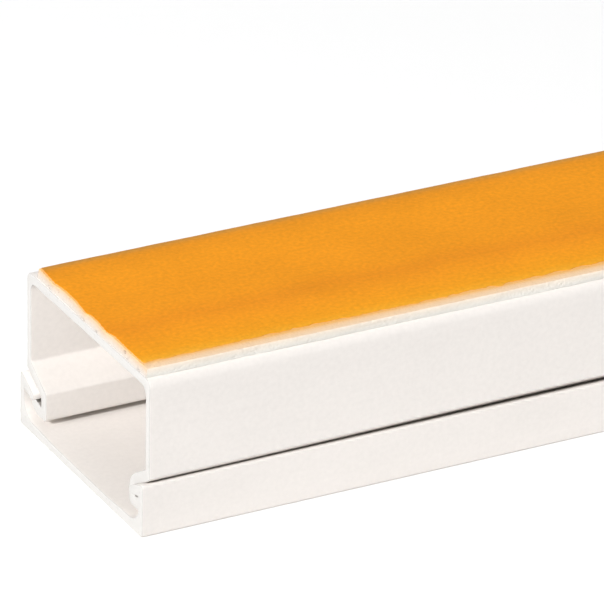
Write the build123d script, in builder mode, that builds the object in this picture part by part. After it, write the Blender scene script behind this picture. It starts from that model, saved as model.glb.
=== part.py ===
from build123d import *
import math
import os

# A length of self-adhesive cord raceway with a clip-on cover, stored lying on its cover, adhesive back up.
# X runs along the stock, Y across it, Z up from the cover's flat face. All sizes are in millimetres.

# Overall sizes of the closed raceway, without the tape
length = 400.0
width = 40.0
height = 24.5

# The cover stands this far out of the channel at the -X end
cover_slide = 1.1

# Base channel: back plate and side walls
back_thickness = 1.4
wall_thickness = 1.1
back_edge_radius = 1.3
back_inner_radius = 1.6

# Base channel: the slanted shoulder at the foot of each wall, and the leg that hangs from it
shoulder_thickness = 1.6
shoulder_angle = 31.0
shoulder_radius = 0.5
throat_radius = 0.5
leg_inset = 6.25
leg_thickness = 1.5
leg_radius = 0.6
leg_floor_gap = 1.4

# Base channel: the outward hook at the foot of each leg
hook_lead_in = 1.1
hook_lead_run = 1.6
hook_radius = 0.3

# Cover: panel, lips, and the inward bead on each lip
panel_thickness = 1.3
panel_edge_radius = 0.7
panel_inner_radius = 3.2
cover_height = 8.7
lip_thickness = 1.1
lip_edge_radius = 0.3
bead_root = 2.5
bead_radius = 0.35

# The snap fit: how deep bead and hook overlap, the slant of their catch faces, and the running gaps
snap_overlap = 2.6
catch_angle = 16.0
catch_gap = 0.9
hook_lip_gap = 0.5

# The split seen along the side: a tapered groove, and behind it the slanted seat on which the shoulder rests
split_gap = 0.5
split_depth = 3.0
split_edge_radius = 0.3
seat_radius = 0.5

# Foam tape along the back, stuck a little off the middle, and the narrower release liner on it.
# The liner is level with the foam's +Y edge, and both end a little short of the channel's ends.
foam_width = 36.0
foam_thickness = 1.4
foam_offset = -0.8
foam_setback = 0.1
liner_width = 34.4
liner_thickness = 0.12
liner_setback = 0.2


def inward(distance):
    """Y of a point that lies the given distance in from the +Y side face."""
    return width / 2 - distance


# Heights on the side face: the top of the cover's lip and the foot of the channel's wall
lip_top = cover_height
wall_foot = cover_height + split_gap
leg_foot = panel_thickness + leg_floor_gap

# Distances in from the side face: the hook's tip, the bead's tip and the leg's two faces
hook_tip = lip_thickness + hook_lip_gap
bead_tip = hook_tip + snap_overlap
leg_outer = leg_inset - leg_thickness

# The shoulder, the seat under it and the catch faces all fall as they run inward
shoulder_fall = math.tan(math.radians(shoulder_angle))
catch_fall = math.tan(math.radians(catch_angle))
shoulder_rise = shoulder_thickness / math.cos(math.radians(shoulder_angle))


def seat(distance):
    """Point on the slanted seat where the shoulder rests on the bead, in line with the middle of the split."""
    return (inward(distance), lip_top + split_gap / 2 - shoulder_fall * distance)


def shoulder_top(distance):
    """Point on the upper side of the shoulder, inside the channel."""
    return (inward(distance), seat(distance)[1] + shoulder_rise)


def bead_under(distance):
    """Point on the bead's catch face."""
    return (inward(distance), lip_top - bead_root - catch_fall * (distance - lip_thickness))


def hook_top(distance):
    """Point on the hook's catch face, parallel to the bead's."""
    return (inward(distance), bead_under(distance)[1] - catch_gap)


# Ends along X: the two extrusions have one length and are slid along each other
base_start = -length / 2 + cover_slide / 2
base_middle = base_start + length / 2
cover_start = -length / 2 - cover_slide / 2

# Base channel: one half of the section is drawn from the middle of the back round the hook, then mirrored
base_corners = [
    ((0, height), None),
    ((inward(0), height), back_edge_radius),
    ((inward(0), wall_foot), split_edge_radius),
    (seat(split_depth), seat_radius),
    (seat(leg_outer), throat_radius),
    (hook_top(leg_outer), hook_radius),
    (hook_top(hook_tip), hook_radius),
    ((inward(hook_tip), leg_foot + hook_lead_in), hook_radius),
    ((inward(hook_tip + hook_lead_run), leg_foot), hook_radius),
    ((inward(leg_inset), leg_foot), leg_radius),
    (shoulder_top(leg_inset), shoulder_radius),
    (shoulder_top(wall_thickness), shoulder_radius),
    ((inward(wall_thickness), height - back_thickness), back_inner_radius),
    ((0, height - back_thickness), None),
]
with BuildPart() as base_channel:
    with BuildSketch(Plane.YZ.offset(base_start)):
        with BuildLine():
            FilletPolyline(
                [point for point, radius in base_corners],
                radius=[radius for point, radius in base_corners[1:-1]],
            )
            Line(base_corners[-1][0], base_corners[0][0])
        make_face()
        mirror(about=Plane.YZ)
    extrude(amount=length)
base_channel.part.label = "base_channel"

# Cover: one half of the section from the middle of the panel round the lip and bead, then mirrored
cover_corners = [
    ((0, 0), None),
    ((inward(0), 0), panel_edge_radius),
    ((inward(0), lip_top), lip_edge_radius),
    (seat(split_depth), seat_radius),
    (seat(bead_tip), bead_radius),
    (bead_under(bead_tip), bead_radius),
    (bead_under(lip_thickness), bead_radius),
    ((inward(lip_thickness), panel_thickness), panel_inner_radius),
    ((0, panel_thickness), None),
]
with BuildPart() as cover:
    with BuildSketch(Plane.YZ.offset(cover_start)):
        with BuildLine():
            FilletPolyline(
                [point for point, radius in cover_corners],
                radius=[radius for point, radius in cover_corners[1:-1]],
            )
            Line(cover_corners[-1][0], cover_corners[0][0])
        make_face()
        mirror(about=Plane.YZ)
    extrude(amount=length)
cover.part.label = "cover"

# Foam tape, laid on the back of the channel
with BuildPart() as foam_tape:
    with BuildSketch(Plane.XY.offset(height)):
        with Locations((base_middle, foam_offset)):
            Rectangle(length - 2 * foam_setback, foam_width)
    extrude(amount=foam_thickness)
foam_tape.part.label = "foam_tape"

# Release liner, laid on the foam
with BuildPart() as release_liner:
    with BuildSketch(Plane.XY.offset(height + foam_thickness)):
        with Locations((base_middle, foam_offset + (foam_width - liner_width) / 2)):
            Rectangle(length - 2 * liner_setback, liner_width)
    extrude(amount=liner_thickness)
release_liner.part.label = "release_liner"

os.makedirs("parts", exist_ok=True)
export_step(base_channel.part, "parts/base_channel.step")
export_step(cover.part, "parts/cover.step")
export_step(foam_tape.part, "parts/foam_tape.step")
export_step(release_liner.part, "parts/release_liner.step")
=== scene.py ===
"""A length of cord cover raceway lying on its cover: white channel and cover, foam tape and orange liner."""
import math

import bpy
import numpy as np
from mathutils import Matrix, Vector


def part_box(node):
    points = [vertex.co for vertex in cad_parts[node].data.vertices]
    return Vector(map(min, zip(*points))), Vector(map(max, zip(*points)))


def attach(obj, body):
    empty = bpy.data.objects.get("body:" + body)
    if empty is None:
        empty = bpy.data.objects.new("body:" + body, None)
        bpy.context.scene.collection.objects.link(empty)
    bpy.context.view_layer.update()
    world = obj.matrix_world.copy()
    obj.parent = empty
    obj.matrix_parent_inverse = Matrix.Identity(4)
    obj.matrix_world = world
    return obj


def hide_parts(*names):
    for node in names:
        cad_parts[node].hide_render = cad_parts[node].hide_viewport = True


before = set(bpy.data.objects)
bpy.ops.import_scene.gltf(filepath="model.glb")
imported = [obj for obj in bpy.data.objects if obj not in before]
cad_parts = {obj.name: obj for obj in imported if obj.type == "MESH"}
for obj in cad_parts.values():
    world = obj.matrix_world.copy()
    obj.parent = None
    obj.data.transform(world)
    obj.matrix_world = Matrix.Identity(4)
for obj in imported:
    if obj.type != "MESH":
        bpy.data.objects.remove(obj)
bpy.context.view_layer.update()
channel_low, channel_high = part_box("base_channel")
cover_low, cover_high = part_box("cover")

MM = 0.001
TINY = 1e-9

# Camera: where it stands in metres, how it is turned in degrees, and its lens in millimetres
CAMERA_PLACE = (-0.56418, -0.75017, 0.43561)
CAMERA_AZIMUTH = -28.0255
CAMERA_ELEVATION = 26.0148
CAMERA_ROLL = 1.0189
CAMERA_LENS = 389.3
CAMERA_SENSOR = 36.0

# Half the floor's width in metres, and the lights: an even light from all sides, and soft lights as
# (name, direction, distance, size, level)
FLOOR_HALF = 30.0
WORLD_LIGHT = 0.1
LIGHT_TARGET = (-0.17, 0.0, 0.012)
LIGHTS = (
    ("key_light", (-0.765, -0.38, 0.53), 3.5, 0.25, 0.84),
    ("front_light", (-0.35, -0.75, 0.56), 3.5, 0.35, 0.02),
    ("left_light", (-0.90, -0.20, 0.40), 3.5, 1.6, 0.56),
    ("back_top_light", (0.30, 0.60, 0.75), 3.5, 2.2, 0.10),
    ("top_light", (0.05, -0.10, 1.0), 3.5, 2.2, 0.27),
)

# The section of the two extrusions, in millimetres: Y across from the middle, Z up from the cover's face
WIDTH = 40.0
HEIGHT = 24.5
BACK = 1.4
WALL = 1.1
BACK_EDGE_RADIUS = 1.3
BACK_INNER_RADIUS = 1.6
SHOULDER = 1.6
SHOULDER_ANGLE = 31.0
SHOULDER_RADIUS = 0.5
THROAT_RADIUS = 0.5
LEG_INSET = 6.25
LEG = 1.5
LEG_RADIUS = 0.6
LEG_FLOOR_GAP = 1.25
HOOK_LEAD_IN = 1.1
HOOK_LEAD_RUN = 1.6
HOOK_RADIUS = 0.3
PANEL = 1.3
PANEL_EDGE_RADIUS = 0.4
PANEL_INNER_RADIUS = 3.2
COVER_HEIGHT = 8.7
LIP = 1.1
LIP_EDGE_RADIUS = 0.3
BEAD_ROOT = 2.5
BEAD_RADIUS = 0.35
SNAP_OVERLAP = 2.6
CATCH_ANGLE = 16.0
CATCH_GAP = 0.9
HOOK_LIP_GAP = 0.5
SPLIT_GAP = 0.5
SPLIT_DEPTH = 3.0
SPLIT_EDGE_RADIUS = 0.3
SEAT_RADIUS = 0.5

# Worked out from these: slants, heights, and distances in from the side face
SHOULDER_FALL = math.tan(math.radians(SHOULDER_ANGLE))
CATCH_FALL = math.tan(math.radians(CATCH_ANGLE))
SHOULDER_RISE = SHOULDER / math.cos(math.radians(SHOULDER_ANGLE))
WALL_FOOT = COVER_HEIGHT + SPLIT_GAP
LEG_FOOT = PANEL + LEG_FLOOR_GAP
HOOK_TIP = LIP + HOOK_LIP_GAP
BEAD_TIP = HOOK_TIP + SNAP_OVERLAP
LEG_OUTER = LEG_INSET - LEG

# What extruding, cutting and clipping together leave on the two extrusions, in millimetres: the walls sink
# in a little, the lips lean in at their top and lie lower, most at -Y, and the panel thickens towards them
WALL_BOW = 0.12
WALL_BOW_FADE = 1.0
LIP_LEAN = 0.12
LIP_LEAN_HEIGHT = 1.4
LIP_DROP = 0.43
LIP_DROP_FAR = 0.06
PANEL_RISE = 0.3
PANEL_RISE_RUN = 8.0

# The split opens away from the ends, and the near leg's top corner is worn at the cut
SPLIT_AT_CUT = 0.28
SPLIT_AT_END = 0.45
SPLIT_ALONG = 0.82
SPLIT_CUT_DEPTH = 1.0
SPLIT_CUT_RUN = 2.0
SPLIT_END_RUN = 75.0
SPLIT_FADE = 1.4
WORN_RADIUS = 4.0
WORN_RUN = 2.2

# The saw breaks the cut edges: by how much, how unevenly, and from what share of it to what share
CUT_CHAMFER = 0.12
CUT_CHAMFER_STEPS = 3
CUT_UNEVEN = 0.8
CUT_UNEVEN_WAVES = (0.7, 3.0)
CUT_LEAST = 0.2
CUT_MOST = 2.2

# How finely the extrusions are divided, and the angles in degrees up to which faces are shaded as one, on
# them and on the tape
ARC_STEPS = 7
SECTION_STEP = 0.8
LENGTH_STEP = 4.0
END_STEPS = (0.4, 0.8, 1.3, 2.0, 3.0)
EXTRUSION_SMOOTH_ANGLE = 40
TAPE_SMOOTH_ANGLE = 50

# The tape's hand-cut front: how far it stands back from the channel's end, at places across it, its rag, how
# far along the foam it is felt, and how much of it the foam's foot follows
FRONT_ACROSS = (-17.3, -15.2, -11.7, -7.6, -5.6, -2.2, 0.1, 0.8, 5.4, 9.2, 11.7, 13.6, 16.9)
FRONT_SETBACK = (0.13, 0.08, 0.08, 0.23, -0.21, 0.17, 0.18, -0.20, 0.34, 0.38, 0.05, 0.18, 0.45)
FRONT_RAG = 0.05
FRONT_RAG_WAVES = (0.3, 1.4)
FRONT_RUN = 2.0
FRONT_AT_FOOT = 0.4

# Foam: how finely it is divided, its waves, which change so many times faster upwards than along it, and how
# its upper edge softens
FOAM_SIDE_STEP = 0.25
FOAM_FRONT_STEP = 0.1
FOAM_ROWS = 14
FOAM_RIM = 3.0
FOAM_WAVE = 0.06
FOAM_WAVE_MIDDLE = 0.8
FOAM_WAVE_UPWARD = 6
FOAM_WAVES = (3, 30)
FOAM_SOFT_EDGE = 0.09
FOAM_SOFT_POWER = 10

# Foam: its cells, one in each square of the given size, with a radius from a least share of that size
# upwards; the depth of its pits; and the torn voids in its cut front as
# (Y, height in the foam, half width, half height, depth)
FOAM_CELL = 0.34
FOAM_CELL_LEAST = 0.3
FOAM_CELL_VARIES = 0.35
FOAM_SIDE_PIT = 0.07
FOAM_FRONT_PIT = 0.16
FOAM_VOIDS = (
    (-16.15, 0.16, 0.60, 0.18, 0.7), (-12.8, 0.14, 0.32, 0.24, 0.7), (-11.85, 1.05, 0.30, 0.22, 0.6),
    (-2.7, 0.20, 0.24, 0.18, 0.6), (1.2, 0.42, 0.36, 0.17, 0.6), (6.5, 1.12, 0.20, 0.14, 0.4),
    (10.1, 0.92, 0.22, 0.16, 0.4), (13.1, 0.30, 0.28, 0.16, 0.5),
)

# Liner: it ends behind the foam's front, its +Y edge waves, and its -Y edge is ragged, with how far it
# stands in at distances from the front, and with teeth as (distance from the front, how far each stands out)
LINER_BEHIND = 0.5
LINER_RAG_WAVES = (0.25, 0.8)
LINER_EDGE_WAVE = 0.05
LINER_EDGE_WAVES = (4, 25)
LINER_EDGE_POWER = 12
LINER_NEAR_ALONG = (8.0, 13.0, 20.0, 25.0, 30.0, 34.0, 39.0, 44.0, 52.0, 60.0, 68.0, 75.0, 100.0)
LINER_NEAR_INSET = (0.50, 0.63, 0.85, 0.97, 0.95, 0.75, 0.78, 0.72, 0.90, 0.82, 0.88, 1.00, 0.80)
LINER_NEAR_LIMIT = 1.3
LINER_NEAR_RAG = 0.17
LINER_NEAR_WAVES = (0.8, 5)
LINER_TEETH = ((4.0, 0.1), (23.2, 0.2), (34.0, 0.2), (41.7, 0.2), (43.7, 0.15), (48.5, 0.4), (57.3, 0.75))
LINER_TOOTH = 0.6

# Liner: its top has a long low ridge, falls away at both long edges and is finely crinkled
LINER_RIDGE_Y = -7.6
LINER_RIDGE_WIDTH = 2.4
LINER_RIDGE = 0.03
LINER_EDGE_FALL = 0.08
LINER_EDGE_RUN = 2.0
LINER_CRINKLE = 0.006
LINER_CRINKLE_WAVES = (1.5, 9)
LINER_LOWEST = 0.1

# How finely the liner is divided: across, at its long edges, at both ends, near the front and further back
LINER_STEP_ACROSS = 0.3
LINER_STEPS_EDGE = (0.0, 0.08, 0.18)
LINER_STEP_FRONT = 0.15
LINER_FRONT_RUN = 3.0
LINER_STEP_ALONG = 0.35
LINER_FINE_RUN = 80.0
LINER_STEP_FURTHER = 1.0

# Grain that all finishes share: scale of its broad mottle per metre, that mottle's share, how its streaks
# are drawn out along the stock, and how much it varies the roughness
BROAD_MOTTLE_SCALE = 80.0
BROAD_MOTTLE_SHARE = 0.5
STREAK_STRETCH = (9, 800, 800)
ROUGHNESS_VARIES = 0.12

# Each finish: how much mottle and streaks vary its colour, its roughness, the height of its grain in
# millimetres and the scale of its grain per metre; then how strong its sheen is
PVC_FINISH = {"Mottle": 0.05, "Streak": 0.012, "Roughness": 0.45, "Relief": 0.004, "Grain": 1400.0}
SAWN_FINISH = {"Mottle": 0.03, "Streak": 0.0, "Roughness": 0.7, "Relief": 0.01, "Grain": 1800.0}
FOAM_FINISH = {"Mottle": 0.05, "Streak": 0.0, "Roughness": 0.85, "Relief": 0.01, "Grain": 1600.0}
LINER_FINISH = {"Mottle": 0.17, "Streak": 0.02, "Roughness": 0.55, "Relief": 0.003, "Grain": 1500.0}
PVC_SHEEN = 0.3
SAWN_SHEEN = 0.2
FOAM_SHEEN = 0.1
LINER_SHEEN = 0.02

# PVC: its colour, and the shade painted into the catch gap: how far beyond the gap's faces it is full and
# where it ends, and how far it reaches past the hook's tip and into the leg, in millimetres
PVC_COLOUR = (0.82, 0.779, 0.743, 1)
CATCH_SHADE_COLOUR = (0.37, 0.345, 0.32, 1)
CATCH_SHADE_FULL = 0.03
CATCH_SHADE_NONE = 0.15
CATCH_SHADE_PAST = 0.1

# Sawn PVC: its colour, darker than the skin's as painted shade against the strong light on the cut ends,
# its saw marks and its flecks
SAWN_SHADED_COLOUR = (0.53, 0.517, 0.498, 1)
SAW_MARK_STRETCH = (300, 500, 2600)
SAW_MARK_DEPTH = 0.02
FLECK_COLOUR = (0.42, 0.40, 0.365, 1)
FLECK_SCALE = 1500.0
FLECK_DETAIL = 1.0
FLECK_LEVEL = 0.42
FLECK_SHARE = 0.35

# Foam: its glue from the liner's edge (0) outwards, and its cut side and front from bottom (0) to top (1);
# the side darkens towards its foot and the front is darker throughout, both painted shade
FOAM_GLUE = (
    (0.0, (0.86, 0.47, 0.15)), (0.12, (0.87, 0.53, 0.24)),
    (0.4, (0.88, 0.60, 0.36)), (1.0, (0.86, 0.66, 0.48)),
)
FOAM_SIDE_SHADED = ((0.0, (0.77, 0.755, 0.71)), (0.35, (0.84, 0.80, 0.735)), (1.0, (0.91, 0.795, 0.66)))
FOAM_FRONT_SHADED = ((0.0, (0.55, 0.51, 0.475)), (0.5, (0.56, 0.475, 0.395)), (1.0, (0.565, 0.40, 0.255)))

# Foam: where these colours lie. The glue starts inside the solid liner's edge and pales over a strip at the
# front. The front's darker colour, a painted shade, starts at each pair's first value and is full at its
# second: the distance behind the front, the distance in from the -Y side, and how a face looks along X. The
# top is given as shares of the height, and lengths are in millimetres.
GLUE_START = 0.35
GLUE_STRIP = 0.8
GLUE_STRIP_MOST = 0.25
FRONT_BEHIND = (1.6, 0.8)
FRONT_INSIDE = (0.15, 0.35)
FRONT_SHADE_FACING = (-0.5, -0.85)
FOAM_TOP = (0.93, 0.99)
FOAM_CELL_SCALE = 3000.0
FOAM_CELL_HEIGHT = 0.05

# Orange of the liner from its -Y edge (0) to its +Y edge (1): edge made pale as painted light, orange,
# pressed line made darker as painted shade, orange, edge made dull as painted shade; and how its bands wander
LINER_BANDS_AND_SHADING = (
    (0.0, (0.865, 0.44, 0.08)), (0.03, (0.85, 0.378, 0.027)), (0.08, (0.868, 0.343, 0.0185)),
    (0.2, (0.85, 0.311, 0.0185)), (0.32, (0.797, 0.278, 0.0185)), (0.45, (0.838, 0.306, 0.0185)),
    (0.8, (0.858, 0.317, 0.0185)), (0.93, (0.80, 0.296, 0.0195)), (0.955, (0.755, 0.288, 0.025)),
    (1.0, (0.53, 0.268, 0.067)),
)
LINER_WANDER = 0.3
LINER_WANDER_STRETCH = (150, 60, 1)

# Floor: its colour and its mottle
FLOOR_COLOUR = (0.98, 0.98, 0.98)
FLOOR_MOTTLE = 0.004
FLOOR_MOTTLE_SCALE = 3.0


def smooth_noise(points, wavelengths, seed, waves=24):
    """Smooth noise from -1 to 1 or so at each point: the sum of sine waves, each with a random direction, a
    wavelength between the two given and a random start, scaled so that its usual size is about a half."""
    draw = np.random.default_rng(seed)
    points = np.asarray(points, float)
    direction = draw.normal(size=(waves, points.shape[-1]))
    direction /= np.linalg.norm(direction, axis=1, keepdims=True)
    length = draw.uniform(*wavelengths, size=(waves, 1))
    start = draw.uniform(0, 2 * math.pi, waves)
    return np.sin(points @ (2 * math.pi * direction / length).T + start).sum(-1) / math.sqrt(2 * waves)


def smooth_step(share):
    """Runs from 0 to 1 with a level start and end: 3 s^2 - 2 s^3."""
    share = np.clip(share, 0, 1)
    return share * share * (3 - 2 * share)


def cross_2d(a, b):
    """The signed area that two rows of plane vectors span."""
    return a[:, 0] * b[:, 1] - a[:, 1] * b[:, 0]


def rounded(corners, radii):
    """A line through the corners with each inner corner rounded: the arc has its corner's radius, starts and
    ends where that circle touches the two edges, and is drawn as ARC_STEPS points at even angles."""
    corner = np.array(corners, float)
    radius = np.array(radii, float)[:, None]
    back = corner[:-2] - corner[1:-1]
    ahead = corner[2:] - corner[1:-1]
    back /= np.linalg.norm(back, axis=1, keepdims=True)
    ahead /= np.linalg.norm(ahead, axis=1, keepdims=True)
    half = np.arccos((back * ahead).sum(1, keepdims=True)) / 2
    middle = back + ahead
    middle /= np.linalg.norm(middle, axis=1, keepdims=True)
    centre = corner[1:-1] + middle * radius / np.sin(half)
    start = corner[1:-1] + back * radius / np.tan(half) - centre
    end = corner[1:-1] + ahead * radius / np.tan(half) - centre
    turn = np.sign(cross_2d(start, end))[:, None] * (math.pi - 2 * half)
    angle = turn * np.linspace(0, 1, ARC_STEPS)
    cos, sin = np.cos(angle)[..., None], np.sin(angle)[..., None]
    across = np.stack([-start[:, 1], start[:, 0]], 1)
    arcs = centre[:, None] + cos * start[:, None] + sin * across[:, None]
    return np.concatenate([corner[:1], arcs.reshape(-1, 2), corner[-1:]])


def mirrored(half):
    """A closed ring: the half section, then its mirror image in the middle plane, walked back."""
    other = half[-2:0:-1] * (-1, 1)
    return np.concatenate([half, other])


def divided(ring, step):
    """The closed ring with points added on its straight runs, none further apart than step."""
    ahead = np.roll(ring, -1, 0)
    parts = np.maximum(1, np.ceil(np.linalg.norm(ahead - ring, axis=1) / step)).astype(int)
    index = np.repeat(np.arange(len(ring)), parts)
    first = np.repeat(np.cumsum(parts) - parts, parts)
    share = ((np.arange(parts.sum()) - first) / parts[index])[:, None]
    return ring[index] * (1 - share) + ahead[index] * share


def outward(ring):
    """The direction square to the ring at each point, pointing out of the material."""
    along = np.roll(ring, -1, 0) - np.roll(ring, 1, 0)
    along /= np.linalg.norm(along, axis=1, keepdims=True)
    area = cross_2d(ring, np.roll(ring, -1, 0)).sum()
    return np.sign(area) * np.stack([along[:, 1], -along[:, 0]], 1)


def grid_faces(rows, columns, closed):
    """Four-cornered faces of a grid of points, row after row; closed joins the last column to the first."""
    here = np.arange(rows - 1)[:, None] * columns
    column = np.arange(columns if closed else columns - 1)[None]
    after = (column + 1) % columns
    there = here + columns
    return np.stack([here + column, here + after, there + after, there + column], -1).reshape(-1, 4)


def end_faces(rows, columns):
    """The two faces with many corners that close a grid of closed rows at its first and its last row."""
    row = np.arange(columns)
    return [row[::-1].tolist(), ((rows - 1) * columns + row).tolist()]


def new_piece(name, points, faces, materials, indices=None, smooth_angle=None, flat=0):
    """An object at the origin made of the points, in metres, and the faces; the faces point outwards, and
    the last few, as many as flat says, are shaded flat."""
    mesh = bpy.data.meshes.new(name)
    mesh.from_pydata(points, [], faces)
    mesh.validate()
    for material in materials:
        mesh.materials.append(material)
    if indices is not None:
        mesh.polygons.foreach_set("material_index", np.asarray(indices, np.int32))
    if smooth_angle is not None:
        mesh.polygons.foreach_set("use_smooth", np.arange(len(mesh.polygons)) < len(mesh.polygons) - flat)
        mesh.set_sharp_from_angle(angle=math.radians(smooth_angle))
    mesh.update()
    piece = bpy.data.objects.new(name, mesh)
    bpy.context.scene.collection.objects.link(piece)
    return piece


def inward(distance):
    """Y of a point that lies the given distance in from the +Y side face."""
    return WIDTH / 2 - distance


def seat(distance):
    """Point on the slanted seat where the shoulder rests on the bead; it falls as it runs inward."""
    return inward(distance), COVER_HEIGHT + SPLIT_GAP / 2 - SHOULDER_FALL * distance


def shoulder_top(distance):
    """Point on the upper side of the shoulder, inside the channel."""
    return inward(distance), seat(distance)[1] + SHOULDER_RISE


def bead_under(distance):
    """Point on the bead's catch face."""
    return inward(distance), COVER_HEIGHT - BEAD_ROOT - CATCH_FALL * (distance - LIP)


def hook_top(distance):
    """Point on the hook's catch face, parallel to the bead's."""
    return inward(distance), bead_under(distance)[1] - CATCH_GAP


# The +Y halves of the two sections as (corner, radius)
channel_corners = [
    ((0, HEIGHT), None),
    ((inward(0), HEIGHT), BACK_EDGE_RADIUS),
    ((inward(0), WALL_FOOT), SPLIT_EDGE_RADIUS),
    (seat(SPLIT_DEPTH), SEAT_RADIUS),
    (seat(LEG_OUTER), THROAT_RADIUS),
    (hook_top(LEG_OUTER), HOOK_RADIUS),
    (hook_top(HOOK_TIP), HOOK_RADIUS),
    ((inward(HOOK_TIP), LEG_FOOT + HOOK_LEAD_IN), HOOK_RADIUS),
    ((inward(HOOK_TIP + HOOK_LEAD_RUN), LEG_FOOT), HOOK_RADIUS),
    ((inward(LEG_INSET), LEG_FOOT), LEG_RADIUS),
    (shoulder_top(LEG_INSET), SHOULDER_RADIUS),
    (shoulder_top(WALL), SHOULDER_RADIUS),
    ((inward(WALL), HEIGHT - BACK), BACK_INNER_RADIUS),
    ((0, HEIGHT - BACK), None),
]
cover_corners = [
    ((0, 0), None),
    ((inward(0), 0), PANEL_EDGE_RADIUS),
    ((inward(0), COVER_HEIGHT), LIP_EDGE_RADIUS),
    (seat(SPLIT_DEPTH), SEAT_RADIUS),
    (seat(BEAD_TIP), BEAD_RADIUS),
    (bead_under(BEAD_TIP), BEAD_RADIUS),
    (bead_under(LIP), BEAD_RADIUS),
    ((inward(LIP), PANEL), PANEL_INNER_RADIUS),
    ((0, PANEL), None),
]


def section_ring(corners):
    """The whole closed section from the corners of its +Y half and their radii."""
    half = rounded([point for point, radius in corners], [radius for point, radius in corners[1:-1]])
    return divided(mirrored(half), SECTION_STEP)


def bowed(ring):
    """The channel's ring with its walls sunk in: each point of a wall moves towards the middle by
    WALL_BOW * 4 t (1 - t), where t runs from 0 at the wall's foot to 1 at the back. The move fades out over
    WALL_BOW_FADE inside the wall."""
    y, z = ring.T
    share = np.clip((z - WALL_FOOT) / (HEIGHT - WALL_FOOT), 0, 1)
    on_wall = np.clip((np.abs(y) - (WIDTH / 2 - WALL - WALL_BOW_FADE)) / WALL_BOW_FADE, 0, 1)
    return np.stack([y - np.sign(y) * WALL_BOW * 4 * share * (1 - share) * on_wall, z], 1)


def leaned(ring):
    """The cover's ring with its lips leant in: a point of a lip moves towards the middle by LIP_LEAN * t^2,
    where t runs from 0 to 1 over the lip's top LIP_LEAN_HEIGHT, and its top edge lies LIP_DROP lower, or
    LIP_DROP_FAR at +Y. The panel's inner face rises towards the lips by PANEL_RISE, in one smooth step that
    ends where its corner rounding starts, and that rise fades out up the rounding."""
    y, z = ring.T
    corner = WIDTH / 2 - LIP - PANEL_INNER_RADIUS
    rise = PANEL_RISE * smooth_step(1 - (corner - np.abs(y)) / PANEL_RISE_RUN)
    inside = (z > PANEL / 2) & (np.abs(y) < WIDTH / 2 - LIP / 2)
    drop = np.where(y < 0, LIP_DROP, LIP_DROP_FAR) * np.clip(1 - (WIDTH / 2 - np.abs(y)) / SPLIT_DEPTH, 0, 1)
    z = z - drop * np.clip(1 - (COVER_HEIGHT - z) / LIP_LEAN_HEIGHT, 0, 1)
    z = z + rise * np.clip(1 - (z - PANEL) / PANEL_INNER_RADIUS, 0, 1) * inside
    share = np.clip(1 - (COVER_HEIGHT - z) / LIP_LEAN_HEIGHT, 0, 1)
    on_lip = np.clip((np.abs(y) - (WIDTH / 2 - LIP)) / LIP, 0, 1)
    return np.stack([y - np.sign(y) * LIP_LEAN * share ** 2 * on_lip, z], 1)


def split_lift(x, y, z):
    """How far the underside of the channel's wall foot is raised, fading out above it. Away from the ends
    the split is a groove SPLIT_DEPTH deep whose two faces meet at the seat. It is narrowest at the saw cuts,
    and opens with one smooth step over SPLIT_CUT_RUN and another over SPLIT_END_RUN, over which it also
    deepens from SPLIT_CUT_DEPTH."""
    along = np.minimum(x - channel_low.x / MM, channel_high.x / MM - x)
    opened = smooth_step(along / SPLIT_CUT_RUN)
    split = SPLIT_AT_CUT + (SPLIT_AT_END - SPLIT_AT_CUT) * opened
    split = split + (SPLIT_ALONG - SPLIT_AT_END) * smooth_step(along / SPLIT_END_RUN)
    depth = SPLIT_CUT_DEPTH + (SPLIT_DEPTH - SPLIT_CUT_DEPTH) * smooth_step(along / SPLIT_END_RUN)
    distance = WIDTH / 2 - np.abs(y)
    plain_gap = SPLIT_GAP * np.clip(1 - distance / SPLIT_DEPTH, 0, 1)
    gap = split * np.clip(1 - distance / depth, 0, 1)
    underside = WALL_FOOT + (seat(SPLIT_DEPTH)[1] - WALL_FOOT) * np.clip(distance / SPLIT_DEPTH, 0, 1)
    return (gap - plain_gap) * np.clip(1 - (z - underside) / SPLIT_FADE, 0, 1)


def worn_corner(x, y, z):
    """How far the top corner of the -Y leg is worn away, as a move in Y and in Z: near the -X cut a point
    outside a circle that touches the shoulder's upper side and the leg's inner face is drawn onto it. The
    circle's radius falls from WORN_RADIUS at the cut to nothing over WORN_RUN."""
    radius = WORN_RADIUS * smooth_step(1 - (x - channel_low.x / MM) / WORN_RUN)
    slant = math.radians(SHOULDER_ANGLE)
    corner_y, corner_z = -shoulder_top(LEG_INSET)[0], shoulder_top(LEG_INSET)[1]
    centre_y = corner_y - radius
    centre_z = corner_z - radius / math.cos(slant) + radius * math.tan(slant)
    away_y, away_z = y - centre_y, z - centre_z
    away = np.hypot(away_y, away_z) + TINY
    in_corner = (away_z > 0) & (away_y > math.tan(slant) * away_z)
    in_corner &= np.hypot(y - corner_y, z - corner_z) < WORN_RADIUS
    move = np.where(in_corner, np.minimum(radius / away - 1, 0), 0)
    return move * away_y, move * away_z


def settled(points):
    """The channel's points with the split opened and the worn corner drawn in."""
    x, y, z = np.moveaxis(points, -1, 0)
    z = z + split_lift(x, y, z)
    move_y, move_z = worn_corner(x, y, z)
    return np.stack([x, y + move_y, z + move_z], -1)


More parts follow.
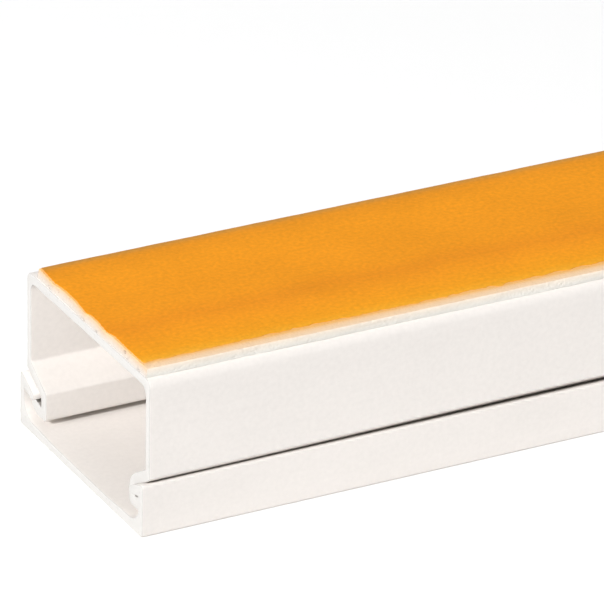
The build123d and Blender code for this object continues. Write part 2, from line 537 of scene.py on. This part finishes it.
def extrusion(name, ring, x_start, x_end, skin, cut, seed, settle=None):
    """The ring carried along X from x_start to x_end, in millimetres. At each saw-cut end it is drawn in
    along a quarter round of CUT_CHAMFER, larger here and smaller there, and one flat face closes it. Settle,
    if given, is a function that moves the points."""
    ring = ring[::-1] if cross_2d(ring, np.roll(ring, -1, 0)).sum() < 0 else ring
    normal = outward(ring)
    turn = np.linspace(0, math.pi / 2, CUT_CHAMFER_STEPS + 1)
    inset = CUT_CHAMFER * (1 - np.sin(turn))
    depth = CUT_CHAMFER * (1 - np.cos(turn))
    steps = np.array(END_STEPS)
    middle = np.linspace(x_start + LENGTH_STEP, x_end - LENGTH_STEP, int((x_end - x_start) / LENGTH_STEP) - 1)
    inner = np.concatenate([x_start + steps, middle, x_end - steps[::-1]])
    x = np.concatenate([x_start + depth, inner, x_end - depth[::-1]])
    draw_in = np.concatenate([inset, np.zeros(len(inner)), inset[::-1]])
    broken = np.clip(1 + CUT_UNEVEN * smooth_noise(ring, CUT_UNEVEN_WAVES, seed), CUT_LEAST, CUT_MOST)
    section = ring[None] - (draw_in[:, None] * broken)[..., None] * normal[None]
    points = np.concatenate([np.broadcast_to(x[:, None, None], section.shape[:2] + (1,)), section], -1)
    if settle:
        points = settle(points)
    rows, columns = points.shape[:2]
    faces = grid_faces(rows, columns, closed=True).tolist() + end_faces(rows, columns)
    # The chamfer rows at the cuts take the sawn material and its painted shade too
    sawn_rows = np.zeros(rows - 1, int)
    sawn_rows[:CUT_CHAMFER_STEPS] = sawn_rows[-CUT_CHAMFER_STEPS:] = 1
    indices = np.concatenate([np.repeat(sawn_rows, columns), [1, 1]])
    return new_piece(name, points.reshape(-1, 3) * MM, faces, [skin, cut], indices,
                     smooth_angle=EXTRUSION_SMOOTH_ANGLE, flat=2)


def tape_front(y):
    """How far the tape's front stands back from the channel's end at each Y: the set-backs in FRONT_SETBACK
    joined by straight lines, with a small rag added."""
    rag = FRONT_RAG * smooth_noise(y[..., None], FRONT_RAG_WAVES, seed=5)
    return np.interp(y, FRONT_ACROSS, FRONT_SETBACK) + rag


def cell_pits(along, up, size, seed):
    """Depth from 0 to 1 of small round pits scattered over a face: one pit stands at a random place in each
    square of the given size, with a radius of its own and a depth that is mostly small, the cube of an even
    draw, and the deepest at each point counts."""
    column, row = np.floor(along / size).astype(int), np.floor(up / size).astype(int)
    table = np.random.default_rng(seed).random((column.max() + 3, row.max() + 3, 4))
    deepest = np.zeros(np.broadcast(along, up).shape)
    for right, above in np.ndindex(3, 3):
        pit = table[column + right, row + above]
        away_along = along - (column + right - 1 + pit[..., 0]) * size
        away_up = up - (row + above - 1 + pit[..., 1]) * size
        radius = size * (FOAM_CELL_LEAST + FOAM_CELL_VARIES * pit[..., 2])
        bowl = np.sqrt(np.clip(1 - (np.hypot(away_along, away_up) / radius) ** 2, 0, 1))
        deepest = np.maximum(deepest, bowl * pit[..., 3] ** 3)
    return deepest


def foam_piece(material):
    """The foam tape as an upright wall round its outline, FOAM_ROWS high, closed above and below by a level
    rim that runs FOAM_RIM inwards and one flat face within it. The whole outline is drawn in by slow waves
    of the slitting knife and a little more at its upper edge, and away from its corners by pits where the
    cut opened cells and by the torn voids of the front, each half an ellipsoid. Its front follows tape_front
    at the top, and FRONT_AT_FOOT of it at the bottom."""
    low, high = (np.array(v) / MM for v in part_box("foam_tape"))
    size = high - low
    side = np.linspace(low[0], high[0], round(size[0] / FOAM_SIDE_STEP), endpoint=False)
    back = np.linspace(low[1], high[1], round(size[1] / FOAM_SIDE_STEP), endpoint=False)
    front = np.linspace(high[1], low[1], round(size[1] / FOAM_FRONT_STEP), endpoint=False)
    loop = np.concatenate([
        np.stack([side, np.full_like(side, low[1])], 1),
        np.stack([np.full_like(back, high[0]), back], 1),
        np.stack([low[0] + high[0] - side, np.full_like(side, high[1])], 1),
        np.stack([np.full_like(front, low[0]), front], 1),
    ])
    steps = np.linalg.norm(np.roll(loop, -1, 0) - loop, axis=1)
    along = (np.cumsum(steps) - steps)[None]
    share = np.linspace(0, 1, FOAM_ROWS + 1)[:, None]
    up = share * size[2]
    at_front = np.arange(len(loop))[None] >= len(loop) - len(front)
    on_wall = np.stack(np.broadcast_arrays(along, FOAM_WAVE_UPWARD * up), -1)
    wave = FOAM_WAVE * np.clip(FOAM_WAVE_MIDDLE + smooth_noise(on_wall, FOAM_WAVES, seed=3), 0, 2)
    soft = FOAM_SOFT_EDGE * share ** FOAM_SOFT_POWER
    pits = cell_pits(along, up, FOAM_CELL, seed=8) * np.where(at_front, FOAM_FRONT_PIT, FOAM_SIDE_PIT)
    void_y, void_up, half_width, half_height, void_depth = np.array(FOAM_VOIDS).T
    away_y = (loop[None, :, 1, None] - void_y) / half_width
    away_up = (up[..., None] - void_up) / half_height
    bowls = np.sqrt(np.clip(1 - (away_y ** 2 + away_up ** 2), 0, 1))
    torn = (bowls * void_depth).sum(-1) * at_front
    centre, half = (low + high)[:2] / 2, size[:2] / 2
    from_corner = np.clip((half - np.abs(loop - centre)).max(1) / FOAM_CELL, 0, 1)
    smaller = 1 - (wave + soft)[..., None] / half
    opened = (np.maximum(pits, torn) * from_corner)[..., None] * outward(loop)[None]
    flat = centre + (loop - centre) * smaller - opened
    near_front = np.clip(1 - (flat[..., 0] - low[0]) / FRONT_RUN, 0, 1) ** 2
    start = channel_low.x / MM + tape_front(flat[..., 1]) - low[0]
    flat[..., 0] += near_front * start * (FRONT_AT_FOOT + (1 - FRONT_AT_FOOT) * share)
    wall = np.concatenate([flat, np.broadcast_to(low[2] + up, flat.shape[:2])[..., None]], -1)
    rim = centre + (loop - centre) * (1 - FOAM_RIM / half)
    inner = [np.concatenate([rim, np.full((len(rim), 1), z)], 1)[None] for z in (low[2], high[2])]
    points = np.concatenate([inner[0], wall, inner[1]])
    rows, columns = points.shape[:2]
    faces = grid_faces(rows, columns, closed=True).tolist() + end_faces(rows, columns)
    return new_piece("foam_strip", points.reshape(-1, 3) * MM, faces, [material],
                     smooth_angle=TAPE_SMOOTH_ANGLE, flat=2)


def liner_piece(material):
    """The release liner: a grid over X and Y as its top, a flat face below and a thin rim between. Its front
    stands LINER_BEHIND behind the foam's, its +Y edge waves a little inwards, and its -Y edge stands in by
    LINER_NEAR_INSET, joined by straight lines, with a rag and teeth, each a bell curve. Its top lies
    LINER_RIDGE low but for a long ridge, also a bell curve, falls away towards both long edges by
    LINER_EDGE_FALL * (1 - distance / LINER_EDGE_RUN)^2, and is finely crinkled."""
    low, high = (np.array(v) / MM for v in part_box("release_liner"))
    run, width = (high - low)[:2]
    front = np.arange(0, LINER_FRONT_RUN, LINER_STEP_FRONT)
    fine = np.arange(LINER_FRONT_RUN, LINER_FINE_RUN, LINER_STEP_ALONG)
    further = np.arange(LINER_FINE_RUN, run - LINER_FRONT_RUN, LINER_STEP_FURTHER)
    steps = np.concatenate([front, fine, further, run - front[::-1]])
    edge = np.array(LINER_STEPS_EDGE)
    middle = np.linspace(LINER_STEP_ACROSS, width - LINER_STEP_ACROSS, round(width / LINER_STEP_ACROSS) - 1)
    y = np.concatenate([low[1] + edge, low[1] + middle, high[1] - edge[::-1]])[None]
    rag = FRONT_RAG * smooth_noise(y[..., None], LINER_RAG_WAVES, seed=11)
    start = channel_low.x / MM + tape_front(y) + LINER_BEHIND + rag
    x = start + (steps / run)[:, None] * (high[0] - start)
    across = (y - low[1]) / width
    far = LINER_EDGE_WAVE * np.clip(1 + smooth_noise(steps[:, None, None], LINER_EDGE_WAVES, seed=13), 0, 2)
    near = np.interp(steps, LINER_NEAR_ALONG, LINER_NEAR_INSET)[:, None]
    near = near + LINER_NEAR_RAG * smooth_noise(steps[:, None, None], LINER_NEAR_WAVES, seed=14)
    for place, out in LINER_TEETH:
        near = near - out * np.exp(-(((steps - place) / LINER_TOOTH) ** 2))[:, None]
    near = np.clip(near, 0, LINER_NEAR_LIMIT)
    y = y + near * (1 - across) ** LINER_EDGE_POWER - far * across ** LINER_EDGE_POWER
    ridge = LINER_RIDGE * (1 - np.exp(-((y - LINER_RIDGE_Y) / LINER_RIDGE_WIDTH) ** 2))
    to_edge = np.minimum(y - low[1], high[1] - y)
    fall = LINER_EDGE_FALL * np.clip(1 - to_edge / LINER_EDGE_RUN, 0, 1) ** 2
    flat = np.stack([x, y], -1)
    crinkle = LINER_CRINKLE * np.clip(1 + smooth_noise(flat, LINER_CRINKLE_WAVES, seed=17), 0, 2)
    z = high[2] - np.clip(ridge + fall + crinkle, 0, LINER_LOWEST)
    rows, columns = z.shape
    top = np.concatenate([flat, z[..., None]], -1).reshape(-1, 3)
    index = np.arange(rows * columns).reshape(rows, columns)
    rim = np.concatenate([index[:-1, 0], index[-1, :-1], index[:0:-1, -1], index[0, :0:-1]])
    under = top[rim] * (1, 1, 0) + (0, 0, low[2])
    below = rows * columns + np.arange(len(rim))
    sides = np.stack([below, np.roll(below, -1), np.roll(rim, -1), rim], 1)
    faces = grid_faces(rows, columns, closed=False)[:, ::-1].tolist() + sides.tolist()
    faces.append(below[::-1].tolist())
    return new_piece("liner_sheet", np.concatenate([top, under]) * MM, faces, [material],
                     smooth_angle=TAPE_SMOOTH_ANGLE, flat=1)


def add_node(tree, kind, inputs=(), **settings):
    """A new node with its settings; an input is given a value, or linked to another node's output."""
    node = tree.nodes.new(kind)
    for name, value in settings.items():
        setattr(node, name, value)
    for name, value in dict(inputs).items():
        if isinstance(value, bpy.types.NodeSocket):
            tree.links.new(value, node.inputs[name])
        else:
            node.inputs[name].default_value = value
    return node


def maths(tree, operation, *values):
    """The result of a sum on one, two or three values."""
    return add_node(tree, "ShaderNodeMath", dict(enumerate(values)), operation=operation).outputs[0]


def between(tree, value, start, end, most=1.0):
    """A share that runs from 0, where the value is start, to most, where it is end."""
    return add_node(tree, "ShaderNodeMapRange", {0: value, 1: start, 2: end, 4: most}).outputs[0]


def noise(tree, place, scale, detail=2.0, stretch=(1, 1, 1)):
    """Noise from -1 to 1 or so over the piece; a small stretch draws it out along that axis."""
    turned = add_node(tree, "ShaderNodeMapping", {"Vector": place, "Scale": stretch}).outputs[0]
    texture = add_node(tree, "ShaderNodeTexNoise", {"Vector": turned, "Scale": scale, "Detail": detail})
    return maths(tree, "MULTIPLY_ADD", texture.outputs[0], 2.0, -1.0)


def scaled(tree, colour, factor):
    """A colour made lighter or darker by a factor."""
    return add_node(tree, "ShaderNodeVectorMath", {0: colour, "Scale": factor}, operation="SCALE").outputs[0]


def blend(tree, share, first, second):
    """A colour between two others."""
    return add_node(tree, "ShaderNodeMix", {0: share, 6: first, 7: second}, data_type="RGBA").outputs[2]


def ramp(tree, share, stops):
    """A colour that runs through the given stops, each a place from 0 to 1 and a colour."""
    node = add_node(tree, "ShaderNodeValToRGB", {0: share})
    elements = node.color_ramp.elements
    for place, colour in stops[1:-1]:
        elements.new(place).color = (*colour, 1)
    elements[0].color = (*stops[0][1], 1)
    elements[-1].color = (*stops[-1][1], 1)
    return node.outputs[0]


def grain_group():
    """Fine mottle, broad mottle and streaks along the stock, which vary a colour and a roughness and give a
    height in millimetres. Colour is multiplied by
    1 + Mottle * (fine + BROAD_MOTTLE_SHARE * broad) + Streak * streaks."""
    tree = bpy.data.node_groups.new("surface_grain", "ShaderNodeTree")
    tree.interface.new_socket("Colour", in_out="INPUT", socket_type="NodeSocketColor")
    for name in ("Mottle", "Streak", "Roughness", "Relief", "Grain"):
        tree.interface.new_socket(name, in_out="INPUT", socket_type="NodeSocketFloat")
    tree.interface.new_socket("Colour", in_out="OUTPUT", socket_type="NodeSocketColor")
    for name in ("Roughness", "Height"):
        tree.interface.new_socket(name, in_out="OUTPUT", socket_type="NodeSocketFloat")
    given = add_node(tree, "NodeGroupInput").outputs
    place = add_node(tree, "ShaderNodeTexCoord").outputs["Object"]
    fine = noise(tree, place, given["Grain"])
    broad = noise(tree, place, BROAD_MOTTLE_SCALE)
    streaks = noise(tree, place, 1.0, stretch=STREAK_STRETCH)
    both_mottles = maths(tree, "MULTIPLY_ADD", broad, BROAD_MOTTLE_SHARE, fine)
    mottle = maths(tree, "MULTIPLY", given["Mottle"], both_mottles)
    factor = maths(tree, "MULTIPLY_ADD", given["Streak"], streaks, maths(tree, "ADD", mottle, 1.0))
    relief = maths(tree, "ADD", fine, streaks)
    rough = maths(tree, "MULTIPLY_ADD", relief, ROUGHNESS_VARIES, 1.0)
    add_node(tree, "NodeGroupOutput", {
        "Colour": scaled(tree, given["Colour"], factor),
        "Roughness": maths(tree, "MULTIPLY", given["Roughness"], rough),
        "Height": maths(tree, "MULTIPLY", given["Relief"], relief),
    })
    return tree


GRAIN = grain_group()


def new_material(name):
    """A material with its node tree, its shader and the place on the piece."""
    material = bpy.data.materials.new(name)
    material.use_nodes = True
    tree = material.node_tree
    place = add_node(tree, "ShaderNodeTexCoord").outputs["Object"]
    return material, tree, tree.nodes["Principled BSDF"], place


def grained(tree, shader, colour, finish, sheen, heights=()):
    """Puts a colour with the grain and sheen of its finish on a shader; each further height, in millimetres,
    adds a bump of its own."""
    grain = add_node(tree, "ShaderNodeGroup", {"Colour": colour, **finish}, node_tree=GRAIN).outputs
    tree.links.new(grain["Colour"], shader.inputs["Base Color"])
    tree.links.new(grain["Roughness"], shader.inputs["Roughness"])
    shader.inputs["Specular IOR Level"].default_value = sheen
    bump = add_node(tree, "ShaderNodeBump", {"Height": grain["Height"], "Distance": MM})
    for height in heights:
        bump = add_node(tree, "ShaderNodeBump", {"Height": height, "Distance": MM, "Normal": bump.outputs[0]})
    tree.links.new(bump.outputs[0], shader.inputs["Normal"])


def catch_painted_shade(tree, place):
    """Where shade is painted, from 0 to 1: on all faces in the narrow gap between bead and hook, on both
    sides. It is full up to a short distance beyond the gap's two faces, and ends a little further beyond
    them."""
    x, y, z = add_node(tree, "ShaderNodeSeparateXYZ", {0: place}).outputs
    distance = maths(tree, "SUBTRACT", WIDTH / 2 * MM, maths(tree, "ABSOLUTE", y))
    middle = maths(tree, "MULTIPLY_ADD", distance, -CATCH_FALL, (bead_under(0)[1] - CATCH_GAP / 2) * MM)
    off = maths(tree, "ABSOLUTE", maths(tree, "SUBTRACT", z, middle))
    in_gap = between(tree, off, (CATCH_GAP / 2 + CATCH_SHADE_NONE) * MM, (CATCH_GAP / 2 + CATCH_SHADE_FULL) * MM)
    past_tip = maths(tree, "GREATER_THAN", distance, (HOOK_TIP - CATCH_SHADE_PAST) * MM)
    short_of_leg = maths(tree, "LESS_THAN", distance, (LEG_OUTER + CATCH_SHADE_PAST) * MM)
    return maths(tree, "MULTIPLY", in_gap, maths(tree, "MULTIPLY", past_tip, short_of_leg))


def pvc_material():
    """Extruded white PVC: warm white with a soft sheen, a fine grain and faint die lines along the stock,
    and painted shade that darkens the faces in the catch gap."""
    material, tree, shader, place = new_material("white_pvc")
    # Painted shade: the faces in the catch gap take the darker catch colour
    colour = blend(tree, catch_painted_shade(tree, place), PVC_COLOUR, CATCH_SHADE_COLOUR)
    grained(tree, shader, colour, PVC_FINISH, PVC_SHEEN)
    return material


def sawn_material():
    """Sawn PVC: duller than the skin, its colour darkened as painted shade against the strong light on the
    cut ends, with slanting saw marks of uneven depth and a few darker flecks.
    """
    material, tree, shader, place = new_material("sawn_pvc")
    marks = noise(tree, place, 1.0, stretch=SAW_MARK_STRETCH)
    flecks = maths(tree, "GREATER_THAN", noise(tree, place, FLECK_SCALE, detail=FLECK_DETAIL), FLECK_LEVEL)
    # Painted shade: the sawn colour is darker than the skin's to offset the strong light on the cut ends
    colour = blend(tree, maths(tree, "MULTIPLY", flecks, FLECK_SHARE), SAWN_SHADED_COLOUR, FLECK_COLOUR)
    grained(tree, shader, colour, SAWN_FINISH, SAWN_SHEEN, [maths(tree, "MULTIPLY", marks, SAW_MARK_DEPTH)])
    return material


def foam_material():
    """White polyethylene foam with its cells. Its top, where the liner doesn't reach, is glue tinted orange,
    most beside the liner, and the foam's sides and cut front are tinted orange towards the top. The cut front
    is darker, and the sides are darker towards their foot: painted shade."""
    material, tree, shader, place = new_material("foam")
    low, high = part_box("foam_tape")
    liner_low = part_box("release_liner")[0]
    x, y, z = add_node(tree, "ShaderNodeSeparateXYZ", {0: place}).outputs
    # Painted shade: the cut front and faces that point along -X take the darker front colours
    normal = add_node(tree, "ShaderNodeSeparateXYZ", {0: place.node.outputs["Normal"]}).outputs["X"]
    up = between(tree, z, low.z, high.z)
    behind = between(tree, x, *(low.x + v * MM for v in FRONT_BEHIND))
    inside = between(tree, y, *(low.y + v * MM for v in FRONT_INSIDE))
    facing = between(tree, normal, *FRONT_SHADE_FACING)
    at_front = maths(tree, "MULTIPLY", behind, maths(tree, "MAXIMUM", inside, facing))
    edge = blend(tree, at_front, ramp(tree, up, FOAM_SIDE_SHADED), ramp(tree, up, FOAM_FRONT_SHADED))
    from_liner = between(tree, y, liner_low.y + GLUE_START * MM, low.y)
    from_back = between(tree, x, low.x + GLUE_STRIP * MM, low.x, most=GLUE_STRIP_MOST)
    glue = ramp(tree, maths(tree, "MAXIMUM", from_liner, from_back), FOAM_GLUE)
    colour = blend(tree, between(tree, up, *FOAM_TOP), edge, glue)
    cells = add_node(tree, "ShaderNodeTexVoronoi", {"Vector": place, "Scale": FOAM_CELL_SCALE})
    cell_height = maths(tree, "MULTIPLY", cells.outputs["Distance"], FOAM_CELL_HEIGHT)
    grained(tree, shader, colour, FOAM_FINISH, FOAM_SHEEN, [cell_height])
    return material


def liner_material():
    """Orange release paper with a silicone sheen: bands of slightly different orange run along it. Painted
    light makes it paler at the near edge, and painted shade duller at the far edge and along a pressed line.
    They wander, but not at the edges."""
    material, tree, shader, place = new_material("liner")
    low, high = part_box("release_liner")
    y = add_node(tree, "ShaderNodeSeparateXYZ", {0: place}).outputs["Y"]
    across = between(tree, y, low.y, high.y)
    to_edges = maths(tree, "MULTIPLY", across, maths(tree, "SUBTRACT", 1.0, across))
    wander = maths(tree, "MULTIPLY", noise(tree, place, 1.0, stretch=LINER_WANDER_STRETCH), to_edges)
    # Painted light and shade: the near edge paler, the far edge and the pressed line darker
    colour = ramp(tree, maths(tree, "MULTIPLY_ADD", wander, LINER_WANDER, across), LINER_BANDS_AND_SHADING)
    grained(tree, shader, colour, LINER_FINISH, LINER_SHEEN)
    return material


def floor_material():
    """A pale matt floor with a hardly visible mottle; from below it can be seen through."""
    material, tree, shader, place = new_material("pale_floor")
    shader.inputs["Specular IOR Level"].default_value = 0.0
    shader.inputs["Roughness"].default_value = 1.0
    factor = maths(tree, "MULTIPLY_ADD", noise(tree, place, FLOOR_MOTTLE_SCALE), FLOOR_MOTTLE, 1.0)
    tree.links.new(scaled(tree, FLOOR_COLOUR, factor), shader.inputs["Base Color"])
    behind = add_node(tree, "ShaderNodeNewGeometry").outputs["Backfacing"]
    clear = add_node(tree, "ShaderNodeBsdfTransparent").outputs[0]
    both = add_node(tree, "ShaderNodeMixShader", {0: behind, 1: shader.outputs[0], 2: clear}).outputs[0]
    tree.links.new(both, tree.nodes["Material Output"].inputs["Surface"])
    return material


def softbox(name, target, direction, distance, size, level):
    """A square soft light that faces the target from the given direction. Level is what it adds to a white
    surface square to it, and a surface under a world of strength 1 has 1: its power is
    level * pi^2 * distance^2."""
    data = bpy.data.lights.new(name, "AREA")
    data.size = size
    data.energy = level * math.pi ** 2 * distance ** 2
    light = bpy.data.objects.new(name, data)
    way = Vector(direction).normalized()
    light.location = Vector(target) + way * distance
    light.rotation_mode = "QUATERNION"
    light.rotation_quaternion = way.to_track_quat("Z", "Y")
    light.visible_camera = False
    bpy.context.scene.collection.objects.link(light)


def place_camera():
    """The camera at CAMERA_PLACE: its back is turned by the azimuth and the elevation, and its right, level
    at first, is rolled about that."""
    azimuth, elevation, roll = (math.radians(v) for v in (CAMERA_AZIMUTH, CAMERA_ELEVATION, CAMERA_ROLL))
    level, rise = math.cos(elevation), math.sin(elevation)
    back = np.array([math.sin(azimuth) * level, -math.cos(azimuth) * level, rise])
    flat = np.array([math.cos(azimuth), math.sin(azimuth), 0])
    right = math.cos(roll) * flat + math.sin(roll) * np.cross(back, flat)
    up = np.cross(back, right)
    data = bpy.data.cameras.new("camera")
    data.lens = CAMERA_LENS
    data.sensor_width = CAMERA_SENSOR
    camera = bpy.data.objects.new("camera", data)
    turned = Matrix(np.stack([right, up, back], 1).tolist()).to_4x4()
    turned.translation = CAMERA_PLACE
    camera.matrix_world = turned
    bpy.context.scene.collection.objects.link(camera)
    bpy.context.scene.camera = camera


# The four pieces: each rides on the one body and replaces its node of the frame
pvc = pvc_material()
sawn = sawn_material()
channel_ring = bowed(section_ring(channel_corners))
channel = extrusion("channel_extrusion", channel_ring, channel_low.x / MM, channel_high.x / MM, pvc, sawn,
                    seed=21, settle=settled)
cover_ring = leaned(section_ring(cover_corners))
cover = extrusion("cover_extrusion", cover_ring, cover_low.x / MM, cover_high.x / MM, pvc, sawn, seed=22)
foam = foam_piece(foam_material())
liner = liner_piece(liner_material())
pieces = (
    (channel, "base_channel", "channel_pvc"),
    (cover, "cover", "cover_pvc"),
    (foam, "foam_tape", "tape_foam"),
    (liner, "release_liner", "liner_paper"),
)
for piece, node, slot in pieces:
    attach(piece, "root")
    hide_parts(node)

# Floor, lights and camera
floor_corners = np.array([[-1, -1, 0], [1, -1, 0], [1, 1, 0], [-1, 1, 0]]) * FLOOR_HALF
floor = new_piece("floor", floor_corners, [[0, 1, 2, 3]], [floor_material()])

world = bpy.data.worlds.new("studio")
bpy.context.scene.world = world
world.use_nodes = True
world.node_tree.nodes["Background"].inputs["Color"].default_value = (1, 1, 1, 1)
world.node_tree.nodes["Background"].inputs["Strength"].default_value = WORLD_LIGHT
for name, direction, distance, size, level in LIGHTS:
    softbox(name, LIGHT_TARGET, direction, distance, size, level)
bpy.context.scene.view_settings.view_transform = "Standard"
place_camera()
